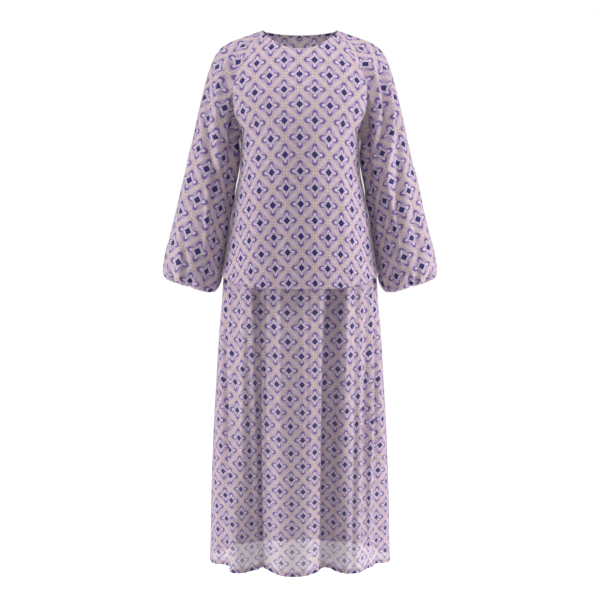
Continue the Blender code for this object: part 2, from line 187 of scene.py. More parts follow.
Crease = namedtuple("Crease", "from_u from_v to_u to_v depth width")
BLOUSE_FRONT_CREASES = (
    (-0.150, 0.190, -0.060, 0.240, -0.0030, 0.016),  # drawn from the underarm
    (-0.165, 0.225, -0.090, 0.330, 0.0025, 0.014),
    (0.155, 0.185, 0.070, 0.245, -0.0028, 0.015),
    (0.170, 0.230, 0.100, 0.320, 0.0026, 0.014),
    (-0.105, 0.300, -0.125, 0.600, 0.0036, 0.018),  # long soft folds to the hem
    (-0.055, 0.380, -0.062, 0.610, -0.0026, 0.016),
    (-0.008, 0.340, -0.012, 0.610, 0.0016, 0.018),
    (0.052, 0.360, 0.056, 0.610, -0.0022, 0.015),
    (0.108, 0.290, 0.128, 0.600, 0.0034, 0.017),
    (-0.175, 0.420, -0.200, 0.600, -0.0030, 0.014),
    (0.178, 0.410, 0.205, 0.600, -0.0032, 0.014),
)
BLOUSE_BACK_CREASES = (
    (-0.140, 0.170, -0.060, 0.260, -0.0032, 0.016),
    (0.142, 0.175, 0.058, 0.255, -0.0034, 0.015),
    (-0.030, 0.060, 0.028, 0.062, -0.0014, 0.012),
    (-0.085, 0.250, -0.095, 0.620, 0.0040, 0.018),
    (-0.040, 0.300, -0.045, 0.620, -0.0034, 0.016),
    (0.010, 0.260, 0.012, 0.620, 0.0036, 0.018),
    (0.056, 0.310, 0.060, 0.620, -0.0032, 0.016),
    (0.100, 0.260, 0.118, 0.610, 0.0038, 0.017),
)
# On a sleeve u runs round it from the outer line towards the back and v down from the neck.
SLEEVE_BACK_CREASES = (
    (0.020, 0.300, 0.030, 0.600, -0.0040, 0.016),
    (0.050, 0.140, 0.120, 0.400, 0.0060, 0.014),
    (0.085, 0.130, 0.165, 0.340, -0.0090, 0.013),
    (0.040, 0.220, 0.150, 0.560, -0.0070, 0.014),
    (0.070, 0.360, 0.100, 0.660, 0.0050, 0.016),
    (0.160, 0.300, 0.200, 0.560, -0.0060, 0.014),
)
RIGHT_SLEEVE_CREASES = (
    (-0.072, 0.090, -0.176, 0.330, -0.0140, 0.010),  # falls from the armhole, in front
    (-0.130, 0.210, -0.215, 0.520, -0.0110, 0.014),
    (-0.046, 0.090, -0.142, 0.400, 0.0135, 0.009),
    (-0.026, 0.160, -0.172, 0.560, -0.0120, 0.012),
    (-0.140, 0.320, -0.200, 0.640, -0.0130, 0.022),
    (-0.106, 0.380, -0.150, 0.620, 0.0080, 0.007),
    (-0.118, 0.380, -0.164, 0.620, -0.0080, 0.007),
    (-0.080, 0.240, -0.128, 0.380, 0.0060, 0.006),
    (-0.092, 0.230, -0.142, 0.380, -0.0070, 0.006),
    (-0.022, 0.340, -0.100, 0.680, 0.0065, 0.016),
    (-0.060, 0.500, -0.120, 0.690, -0.0050, 0.010),
)
LEFT_SLEEVE_CREASES = (
    (-0.070, 0.090, -0.176, 0.320, -0.0140, 0.010),  # falls from the armhole, in front
    (-0.130, 0.210, -0.225, 0.560, -0.0110, 0.014),
    (-0.062, 0.120, -0.154, 0.400, 0.0120, 0.008),
    (-0.046, 0.130, -0.138, 0.380, -0.0085, 0.008),
    (-0.034, 0.150, -0.152, 0.500, 0.0110, 0.009),
    (-0.020, 0.180, -0.160, 0.640, -0.0125, 0.013),
    (-0.150, 0.380, -0.200, 0.650, -0.0120, 0.022),
    (-0.118, 0.400, -0.142, 0.650, 0.0080, 0.007),
    (-0.132, 0.400, -0.156, 0.650, -0.0080, 0.007),
    (-0.020, 0.400, -0.075, 0.690, 0.0060, 0.015),
    (-0.070, 0.480, -0.105, 0.700, -0.0050, 0.010),
)
# On the skirt u runs to the wearer's left from the middle and v down from the waist.
SKIRT_FRONT_CREASES = (
    (-0.128, 0.100, -0.150, 1.020, 0.0110, 0.007),  # sharp edge of the deep fold, wearer's right
    (-0.106, 0.100, -0.122, 1.020, 0.0050, 0.006),
    (-0.092, 0.100, -0.106, 1.020, 0.0150, 0.018),
    (-0.086, 0.140, -0.098, 1.020, -0.0050, 0.006),
    (-0.050, 0.120, -0.048, 0.700, 0.0030, 0.007),
    (0.020, 0.160, 0.016, 0.900, -0.0022, 0.008),
    (0.054, 0.100, 0.058, 1.020, 0.0050, 0.009),  # sharp edge of the other deep fold
    (0.082, 0.100, 0.092, 1.020, -0.0140, 0.020),
    (0.122, 0.120, 0.128, 0.800, 0.0060, 0.009),
    (0.150, 0.140, 0.160, 0.960, -0.0040, 0.008),
    (0.168, 0.140, 0.176, 0.960, 0.0050, 0.009),
    (-0.178, 0.140, -0.190, 0.960, -0.0060, 0.012),
    (-0.212, 0.140, -0.218, 0.980, 0.0085, 0.010),
    (-0.238, 0.140, -0.262, 0.980, -0.0100, 0.011),
    (0.190, 0.140, 0.200, 0.980, -0.0060, 0.010),
    (0.210, 0.140, 0.226, 0.980, 0.0085, 0.010),
    (0.238, 0.140, 0.260, 0.980, -0.0100, 0.011),
    (-0.005, 0.400, -0.008, 0.980, -0.0040, 0.020),
)
SKIRT_BACK_CREASES = (
    (-0.180, 0.230, -0.205, 0.900, 0.0040, 0.013),
    (0.030, 0.260, 0.040, 0.930, 0.0030, 0.014),
    (0.215, 0.230, 0.240, 0.900, 0.0040, 0.012),
)

# How the print lies on the hanging panels: at a distance v down the cut, how many repeats are above it
# and how wide one repeat is. The print tightens towards the hem, and one line of it hangs straight.
BLOUSE_PRINT = (
    (-0.120, -5.45, 0.0775),
    (0.030, -3.5, 0.0771),
    (0.187, -1.5, 0.0760),
    (0.272, -0.5, 0.0743),
    (0.354, 0.5, 0.0716),
    (0.435, 1.5, 0.0698),
    (0.514, 2.5, 0.0678),
    (0.590, 3.5, 0.0648),
    (0.680, 4.7, 0.0630),
)
SKIRT_PRINT = (
    (-0.050, -5.36, 0.0700),
    (0.263, -1.0, 0.0694),
    (0.335, 0.0, 0.0684),
    (0.407, 1.0, 0.0662),
    (0.477, 2.0, 0.0631),
    (0.546, 3.0, 0.0610),
    (0.614, 4.0, 0.0595),
    (0.679, 5.0, 0.0585),
    (0.742, 6.0, 0.0578),
    (0.861, 8.0, 0.0561),
    (0.990, 10.2, 0.0550),
)
STRAIGHT_LINE_U = 0.037
BLOUSE_PRINT_SAG = 8.3
# On the skirt the print lies evenly across the folds up to the first of these shares of its half width,
# and along its smooth form past the second. Over any bit of the folded cloth it runs on by at least the
# third share of that cloth's length.
FOLDS_UNTIL = 0.46
FOLDS_PAST = 0.60
FOLDS_LEAST = 0.55
# A sleeve's print runs evenly: degrees that it is turned, a repeat's size, and where its first one is.
SleevePrint = namedtuple("SleevePrint", "turn width height shift_u shift_v")
LEFT_SLEEVE_PRINT = SleevePrint(6.0, 0.0720, 0.0763, -0.32, 0.09)
RIGHT_SLEEVE_PRINT = SleevePrint(3.0, 0.0780, 0.0827, 0.06, -0.23)

# Edges turned to the inside, at the neck and along both hems.
NECK_TURN = 0.007
BLOUSE_HEM_TURN = 0.010
SKIRT_HEM_TURN = 0.012
TURN_GAP = 0.0008

# Short sharp pleats where the balloon of a sleeve is drawn into its cuff, and the places on the sleeve's
# rows where they start and where they are full.
CUFF_PLEATS = 17
CUFF_PLEAT_DEPTH = 0.0105
CUFF_PLEAT_SHARPNESS = 0.26
CUFF_PLEATS_START = 5.4
CUFF_PLEATS_FULL = 7.6

# The blouse's hem flares and both hems roll outward at their very edge: the height and the depth of each,
# and the share of that depth at a side seam.
BLOUSE_HEM_ROLLS = ((0.045, 0.0065), (0.006, 0.0040))
SKIRT_HEM_ROLLS = ((0.006, 0.0030),)
SEAM_ROLL = 0.5

# How far the sleeve's inner side lies towards the body, from low to high, and over what share of its girth.
INNER_FULLNESS = (
    (-0.402, 0.0000), (-0.388, -0.0015), (-0.365, -0.0018), (-0.350, 0.0002),
    (-0.338, 0.0016), (-0.325, 0.0040), (-0.310, 0.0064), (-0.290, 0.0072),
    (-0.265, 0.0070), (-0.220, 0.0035), (-0.160, 0.0000),
)
INNER_FULLNESS_SHARE = 0.09

# How finely each sheet is divided.
PANEL_ACROSS = 150
PANEL_ROWS_EACH = 12
SLEEVE_AROUND = 300
CAP_DOWN = 50
SLEEVE_ROWS_EACH = 12
SKIRT_ACROSS = 340
SKIRT_ROWS_EACH = 18
HEM_ROWS = 9
TURN_ROWS = 5
CUFF_CASING_ROWS = 7
WAISTBAND_ROWS = 13

# A sleeve is laid flat on a coarser grid, in many rounds that each move a point by a stride. The first
# guess drops the cap's sides by a share of its length and narrows its top.
FLAT_ROWS = 26
FLAT_COLUMNS = 41
FLAT_ROUNDS = 3000
FLAT_STRIDE = 1.6
GUESS_DROP = 0.42
GUESS_CURVE = 1.2
GUESS_TOP_WIDTH = 0.75


def limited_slope(before, after):
    """Slope at a table row that never overshoots its neighbours."""
    total = np.where(before * after > 0.0, before + after, 1.0)
    return np.where(before * after > 0.0, 2.0 * before * after / total, 0.0)


def section(rows, places):
    """The table's columns at an array of places, blended smoothly from row to row."""
    table = np.array(rows, dtype=float)
    padded = np.vstack([2 * table[0] - table[1], table, 2 * table[-1] - table[-2]])
    places = np.asarray(places, dtype=float)
    at = np.clip(places.astype(int), 0, len(rows) - 2)
    a, b, c, d = padded[at], padded[at + 1], padded[at + 2], padded[at + 3]
    t = (places - at)[..., None]
    bend = (t ** 3 - 2 * t ** 2 + t) * limited_slope(b - a, c - b)
    bend = bend + (t ** 3 - t ** 2) * limited_slope(c - b, d - c)
    values = b + (c - b) * (3 * t ** 2 - 2 * t ** 3) + bend
    return type(rows[0])(*np.moveaxis(values, -1, 0))


def unit(vectors):
    """Vectors of length one."""
    return vectors / np.maximum(np.linalg.norm(vectors, axis=-1, keepdims=True), 1e-9)


def fold_depth(folds, u, down):
    """How far the folds push the cloth in, on a grid of u across and down from hip to hem."""
    depth = np.zeros(np.broadcast(u, down).shape)
    for row in folds:
        fold = Fold(*row)
        away = u - (fold.hip + (fold.hem - fold.hip) * down)
        width = np.where(away < 0.0, fold.width_low, fold.width_high)
        depth = depth + fold.depth * np.exp(-((away / width) ** 2))
    return depth


def fade_at_seam(u):
    """1 over most of a panel and 0 at its side seams, where two panels must meet."""
    return 1.0 - np.abs(u) ** SEAM_FADE


def panel_grid(rows, folds, side, u, places):
    """Points of a blouse panel on a grid of u across (-1 to 1) and places down its rows."""
    row = section(rows, places)
    row = type(row)(*(column[:, None] for column in row))
    u = u[None, :]
    reach = np.radians(row.spread)
    x = row.edge_x * np.sin(u * reach) / np.sin(reach)
    share = (np.cos(u * reach) - np.cos(reach)) / (1.0 - np.cos(reach))
    y = row.edge_y + (row.mid_y - row.edge_y) * share
    z = row.mid_z + (row.edge_z - row.mid_z) * np.abs(x / row.edge_x) ** row.bow
    down = np.maximum(0.0, (places - RAGLAN_END) / (len(rows) - 1 - RAGLAN_END))[:, None]
    y = y - side * fold_depth(folds, u, down) * down ** BLOUSE_FOLD_GROWTH * fade_at_seam(u)
    return np.stack([x, y, z], axis=-1)


def raglan_loop(around):
    """The left sleeve's seam line: underarm, front seam, neck, back seam, for around from 0 to 1."""
    front = section(BLOUSE_FRONT_ROWS, RAGLAN_END * np.clip(1.0 - around / RAGLAN_SHARE, 0, 1))
    back = section(BLOUSE_BACK_ROWS, RAGLAN_END * np.clip(1.0 - (1.0 - around) / RAGLAN_SHARE, 0, 1))
    front = np.stack([front.edge_x, front.edge_y, front.edge_z], axis=-1)
    back = np.stack([back.edge_x, back.edge_y, back.edge_z], axis=-1)
    along = np.clip((around - RAGLAN_SHARE) / (1.0 - 2.0 * RAGLAN_SHARE), 0.0, 1.0)[:, None]
    swell = np.sin(math.pi * along) * np.array(SHOULDER_SWELL)
    return front * (1.0 - along) + back * along + swell


def drifted(turn, drifts):
    """Angles round a ring, moved unevenly along it."""
    moved = turn
    for drift in drifts:
        moved = moved + drift.size * np.sin(drift.count * turn + drift.start)
    return moved


def uneven_height(turn, drift):
    """A height of 1 at most that changes slowly round a ring."""
    return 1.0 - drift.size + drift.size * np.sin(drift.count * turn + drift.start)


def uneven_wave(turn, count):
    """count gathers round a ring, of uneven height and spacing, with finer ones on them."""
    shifted = drifted(turn, GATHER_SPACING)
    fine = FINE_GATHERS * np.cos(2.0 * count * shifted + FINE_GATHERS_START)
    return np.cos(count * shifted) * uneven_height(turn, GATHER_HEIGHT) + fine


def sleeve_ring(around, places):
    """Points of the left sleeve below its cap."""
    row = section(SLEEVE_ROWS, places)
    inner = np.stack([row.in_x, row.mid_y, row.in_z], axis=-1)[:, None, :]
    outer = np.stack([row.out_x, row.mid_y, row.out_z], axis=-1)[:, None, :]
    turn = 2.0 * math.pi * around[None, :]
    depth = row.half_depth[:, None] * np.sin(turn)
    way = -np.cos(turn)[..., None] * (outer - inner) / 2.0
    way = way - np.stack([np.zeros_like(depth), depth, np.zeros_like(depth)], axis=-1)
    wave = uneven_wave(turn, CUFF_GATHERS) * row.gather[:, None] * CUFF_GATHER_DEPTH
    return (inner + outer) / 2.0 + way + unit(way) * wave[..., None]


def cap_grid(around, steps):
    """Points of the left sleeve from the raglan seam (steps 0) to the upper arm (steps 1)."""
    half = np.minimum(around, 1.0 - around)
    marks = [row.around for row in CAP_ROWS]
    leave = section(CAP_ROWS, np.interp(half, marks, np.arange(len(marks))))
    mirror = np.where(around <= 0.5, 1.0, -1.0)
    way = unit(np.stack([leave.way_x, leave.way_y * mirror, leave.way_z], axis=-1))
    start = raglan_loop(around)
    end, beyond = sleeve_ring(around, np.array([0.0, 0.25]))
    arrive = unit(beyond - end) * leave.arrive[:, None]
    t = steps[:, None, None]
    grid = start * (2 * t ** 3 - 3 * t ** 2 + 1) + end * (3 * t ** 2 - 2 * t ** 3)
    grid = grid + way * leave.pull[:, None] * (t ** 3 - 2 * t ** 2 + t)
    return grid + arrive * (t ** 3 - t ** 2)


def skirt_grid(side, u, places, smooth=False):
    """Points of half of the skirt on a grid of u across (-1 to 1) and places down its rows."""
    row = section(SKIRT_ROWS, places)
    row = type(row)(*(column[:, None] for column in row))
    depth = row.front_depth if side == FRONT else row.back_depth
    folds = SKIRT_FRONT_FOLDS if side == FRONT else SKIRT_BACK_FOLDS
    turn = u[None, :] * math.pi / 2.0
    down = (places / (len(SKIRT_ROWS) - 1))[:, None]
    fade = fade_at_seam(u)[None, :]
    inward = fold_depth(folds, u[None, :], down) * row.fold * fade
    inward = inward - WAIST_GATHER_DEPTH * row.gather * np.cos(WAIST_GATHERS * turn * 2.0) * fade
    inward = inward * (0.0 if smooth else 1.0)
    out_x = np.sin(turn) / row.half_width
    out_y = side * np.cos(turn) / depth
    size = np.hypot(out_x, out_y)
    x = row.half_width * np.sin(turn) - inward * out_x / size
    y = side * depth * np.cos(turn) - inward * out_y / size
    z = row.z + HEM_LIFT * np.maximum(0.0, inward) * down ** HEM_LIFT_GROWTH
    return np.stack([x, y, z], axis=-1)


# Cloth: normals, the cut's own coordinates, creases and meshes


def grid_normals(points, closed, flip):
    """Outward normals of a grid of points; a closed grid repeats its first column as its last."""
    wide = points
    if closed:
        wide = np.concatenate([points[:, -2:-1], points, points[:, 1:2]], axis=1)
    across = np.gradient(wide, axis=1)
    down = np.gradient(wide, axis=0)
    normals = unit(np.cross(down, across))
    if closed:
        normals = normals[:, 1:-1]
    return -normals if flip else normals


def arc_lengths(points, axis):
    """Length along the grid's lines from their first point."""
    steps = np.linalg.norm(np.diff(points, axis=axis), axis=-1)
    start = np.zeros_like(np.take(steps, [0], axis=axis))
    return np.concatenate([start, np.cumsum(steps, axis=axis)], axis=axis)


def panel_cut(points):
    """The cut's coordinates of a hanging panel: u along the cloth from the middle, v down it."""
    across = arc_lengths(points, 1)
    middle = points.shape[1] // 2
    u = across - across[:, middle:middle + 1]
    line = points[:, middle]
    fall = arc_lengths(line[:, None], 0)[:, 0]
    depth = line[0, 2] - points[..., 2]
    v = np.interp(depth, line[0, 2] - line[:, 2], fall)
    v = np.where(depth < 0.0, depth, v)
    past = depth - (line[0, 2] - line[-1, 2])
    return np.stack([u, np.where(past > 0.0, fall[-1] + past, v)], axis=-1)


def flatten(points, guess, rounds):
    """Lays a grid of points flat, with its edges and diagonals as long as they are in space."""
    flat = guess.copy()
    links = (
        (np.s_[:, :-1], np.s_[:, 1:]),
        (np.s_[:-1, :], np.s_[1:, :]),
        (np.s_[:-1, :-1], np.s_[1:, 1:]),
        (np.s_[1:, :-1], np.s_[:-1, 1:]),
    )
    lengths = [np.linalg.norm(points[b] - points[a], axis=-1) for a, b in links]
    for _ in range(rounds):
        push = np.zeros_like(flat)
        count = np.zeros(flat.shape[:2])
        for (a, b), length in zip(links, lengths):
            gap = flat[b] - flat[a]
            now = np.maximum(np.linalg.norm(gap, axis=-1), 1e-6)
            move = gap * (0.5 * (now - length) / now)[..., None]
            push[a] += move
            push[b] -= move
            count[a] += 1
            count[b] += 1
        flat += push / count[..., None] * FLAT_STRIDE
    return flat


def sleeve_cut(points, widest):
    """The cut's coordinates of a sleeve: laid flat down to its widest ring, then straight on."""
    rows = np.unique(np.linspace(0, widest, FLAT_ROWS).astype(int))
    columns = np.unique(np.linspace(0, points.shape[1] - 1, FLAT_COLUMNS).astype(int))
    coarse = points[np.ix_(rows, columns)]
    centre = len(columns) // 2
    fall = arc_lengths(coarse[:, centre:centre + 1], 0)[:, 0]
    girth = arc_lengths(coarse, 1)
    u = girth - girth[:, centre:centre + 1]
    around = np.abs(np.linspace(-1.0, 1.0, len(columns)))
    cap_fall = fall[-1] * GUESS_DROP * around ** GUESS_CURVE
    v = cap_fall + (fall[-1] - cap_fall) * (fall / fall[-1])[:, None]
    u = u * np.linspace(GUESS_TOP_WIDTH, 1.0, len(rows))[:, None]
    flat = flatten(coarse, np.stack([u, v], axis=-1), FLAT_ROUNDS)
    top, foot = flat[0, centre], flat[-1, centre]
    down = unit(foot - top)
    turned = np.array([[down[1], -down[0]], [down[0], down[1]]])
    flat = (flat - top) @ turned.T
    fine_columns = np.arange(points.shape[1])
    fine = np.empty((widest + 1, points.shape[1], 2))
    for k in range(2):
        wide = np.stack([np.interp(fine_columns, columns, line) for line in flat[..., k]])
        for column in fine_columns:
            fine[:, column, k] = np.interp(np.arange(widest + 1), rows, wide[:, column])
    below = arc_lengths(points[widest:], 0)[1:]
    rest = np.repeat(fine[-1:], len(below), axis=0)
    rest[..., 1] += below.mean(axis=1, keepdims=True)
    return np.concatenate([fine, rest], axis=0)


def crease_field(cut, creases):
    """How far the creases move the cloth out, over a grid of the cut's coordinates."""
    field = np.zeros(cut.shape[:2])
    for row in creases:
        crease = Crease(*row)
        start = np.array([crease.from_u, crease.from_v])
        run = np.array([crease.to_u, crease.to_v]) - start
        along = np.clip(((cut - start) @ run) / (run @ run), 0.0, 1.0)
        away = np.linalg.norm(cut - start - along[..., None] * run, axis=-1)
        taper = np.sqrt(np.clip(4.0 * along * (1.0 - along), 0.0, 1.0))
        field += crease.depth * np.exp(-((away / crease.width) ** 2)) * taper
    return field


def panel_print(cut, rows, sag):
    """Where a hanging panel's cut lies on the print, in repeats across and down."""
    marks, repeats, widths = zip(*rows)
    repeats = np.interp(cut[..., 1], marks, repeats)
    width = np.interp(cut[..., 1], marks, widths)
    across = 0.5 + (cut[..., 0] - STRAIGHT_LINE_U) / width
    return np.stack([across, repeats - sag * cut[..., 0] ** 2], axis=-1)


def across_folds(points, smooth, u):
    """The cut's coordinates of a folded panel, measured on its smooth form straight behind each point."""
    cut = panel_cut(smooth)
    rows = zip(points[..., 0], smooth[..., 0], cut[..., 0])
    behind = np.stack([np.interp(folded, even, along) for folded, even, along in rows])
    side = np.clip((np.abs(u) - FOLDS_UNTIL) / (FOLDS_PAST - FOLDS_UNTIL), 0.0, 1.0)[None, :]
    even = behind * (1.0 - side) + cut[..., 0] * side
    steps = np.maximum(np.diff(even, axis=1), FOLDS_LEAST * np.diff(arc_lengths(points, 1), axis=1))
    along = np.concatenate([np.zeros((len(steps), 1)), np.cumsum(steps, axis=1)], axis=1)
    middle = len(u) // 2
    cut[..., 0] = along - along[:, middle:middle + 1]
    return cut


def sleeve_print(cut, place):
    """Where a sleeve's cut lies on the print, in repeats across and down."""
    turn = math.radians(place.turn)
    turned = np.array([[math.cos(turn), math.sin(turn)], [-math.sin(turn), math.cos(turn)]])
    return cut @ turned / np.array([place.width, place.height]) + np.array([place.shift_u, place.shift_v])


def pleat_field(around, places):
    """How far the pleats above a cuff draw the cloth in, down a sleeve's rows and round it."""
    turn = 2.0 * math.pi * around
    shifted = drifted(turn, PLEAT_SPACING)
    valley = np.exp(-((np.sin(0.5 * CUFF_PLEATS * shifted) / CUFF_PLEAT_SHARPNESS) ** 2))
    uneven = uneven_height(turn, PLEAT_HEIGHT)
    near = np.clip((places - CUFF_PLEATS_START) / (CUFF_PLEATS_FULL - CUFF_PLEATS_START), 0.0, 1.0)
    return -CUFF_PLEAT_DEPTH * (valley * uneven)[None, :] * (near * near * (3.0 - 2.0 * near))[:, None]


def fuller_inside(points, around):
    """The left sleeve, its inner side lying nearer the body below the underarm and off it further down."""
    from_seam = np.minimum(around, 1.0 - around)[None, :] / INNER_FULLNESS_SHARE
    heights, shifts = zip(*INNER_FULLNESS)
    moved = points.copy()
    moved[..., 0] -= np.interp(points[..., 2], heights, shifts) * np.exp(-(from_seam ** 2))
    return moved


def hem_roll(points, u, rolls):
    """How far a panel's hem lies outward, by rolls of a height and a depth; less at its side seams."""
    rise = arc_lengths(points[::-1], 0)[::-1]
    outward = sum(depth * np.clip(1.0 - rise / height, 0.0, 1.0) ** 2 for height, depth in rolls)
    return outward * (SEAM_ROLL + (1.0 - SEAM_ROLL) * fade_at_seam(u))[None, :]


def panel_places(rows, each):
    """Places down a panel's rows, so many to a row, and closer together in its rolled hem."""
    even = np.linspace(0.0, rows - 1, (rows - 1) * each + 1)
    hem = np.linspace(even[-3], even[-1], HEM_ROWS + 1)
    return np.concatenate([even[:-3], hem])


def turned_edge(grid, normals, rise, depth):
    """A strip as high as depth, laid just inside a sheet's last rows: any grid of values on the sheet."""
    inside = grid if normals is None else grid - normals * TURN_GAP
    heights = np.linspace(depth, 0.0, TURN_ROWS)
    strip = np.empty((TURN_ROWS, *grid.shape[1:]))
    for column in range(grid.shape[1]):
        for k in range(grid.shape[2]):
            strip[:, column, k] = np.interp(heights, rise[::-1, column], inside[::-1, column, k])
    return strip


def cloth_mesh(name, points, cut, printed, closed=False, flip=False):
    """A sheet of cloth as a mesh object, with UV maps of its cut in metres and of its print."""
    rows, columns = points.shape[:2]
    ring = columns - 1 if closed else columns
    index = np.arange(rows * ring).reshape(rows, ring)
    if closed:
        index = np.concatenate([index, index[:, :1]], axis=1)
    number = np.arange(rows * columns).reshape(rows, columns)

    def quads(grid):
        corners = [grid[:-1, :-1], grid[1:, :-1], grid[1:, 1:], grid[:-1, 1:]]
        if flip:
            corners.reverse()
        return np.stack(corners, axis=-1).reshape(-1, 4)

    mesh = bpy.data.meshes.new(name)
    mesh.from_pydata(points[:, :ring].reshape(-1, 3).tolist(), [], quads(index).tolist())
    corners = quads(number).ravel()
    for label, places in (("cut", cut), ("print", printed)):
        layer = mesh.uv_layers.new(name=label)
        layer.data.foreach_set("uv", places.reshape(-1, 2)[corners].ravel())
    mesh.shade_smooth()
    piece = bpy.data.objects.new(name, mesh)
    bpy.context.scene.collection.objects.link(piece)
    return piece


# Materials


def linear(code):
    """Linear colour of an sRGB hex value."""
    values = [int(code[k:k + 2], 16) / 255.0 for k in (0, 2, 4)]
    return [v / 12.92 if v <= 0.04045 else ((v + 0.055) / 1.055) ** 2.4 for v in values] + [1.0]


def feed(tree, sockets, sources):
    """Gives each input what it reads, a socket or a plain value."""
    for socket, source in zip(sockets, sources):
        if isinstance(source, bpy.types.NodeSocket):
            tree.links.new(source, socket)
        elif source is not None:
            socket.default_value = source


def add(tree, kind, *sources, out=0, **settings):
    """Adds a node with its settings and feeds its inputs in order."""
    node = tree.nodes.new(kind)
    for key, value in settings.items():
        setattr(node, key, value)
    feed(tree, node.inputs, sources)
    return node.outputs[out]


# Colours of the printed ground and of the motif.
GROUND = "E2CDD0"
LAVENDER = "B195D0"
HALO = "EBDDEA"
PETAL = "775CA6"
INDIGO = "30276F"
INDIGO_HEART = "3E3686"
TAN = "A0846F"

# Every other row of the print is half a repeat over. Sizes on a motif are shares of a repeat, from its
# middle.
CORE_RADIUS = 0.116
SPIKE_REACH = 0.190
SPIKE_SLOPE = 4.5
HALO_RADIUS = 0.165
PETAL_END = 0.270
PETAL_RADIUS = 0.088
PETAL_STROKE = 0.037
PETAL_TIP = 0.014
PETAL_MOUTH = 0.158
PETAL_FADE = 0.030
TALL_PETAL_SHORTER = 0.020
TALL_PETAL_NARROWER = 0.006
TALL_PETAL_SPLAY = 1.4
EDGE_BLUR = 0.013
VEIL_INNER = 0.190
VEIL_OUTER = 0.400
VEIL_BLUR = 0.085
BRACKET_AT = 0.385
BRACKET_HALF_WIDTH = 0.010
BRACKET_GAP = 0.080
CORNER_AT = 0.365
SPECK_SPACING = 0.1
HEART_RADIUS = 0.055
CORE_SQUARE = 0.5
CORE_ROUND = 0.55

# How much of its colour each ink keeps where it lies thinly.
SPECK_INK = 0.90
PETAL_INK = 0.95
SPIKE_INK = 0.80

# Marks in the cloth, as so many to a metre.
WAVERS = 900.0
STREAKS = (1100.0, 170.0, 0.0)
CLOUDS = 60.0
PATCHES = 260.0
CRINKLES = 650.0
WAVER = (0.045, 0.045, 0.0)

# The share of each cloth that its yarn covers.
CLOSE_WEAVE_COVER = 0.94
OPEN_WEAVE_COVER = 0.885


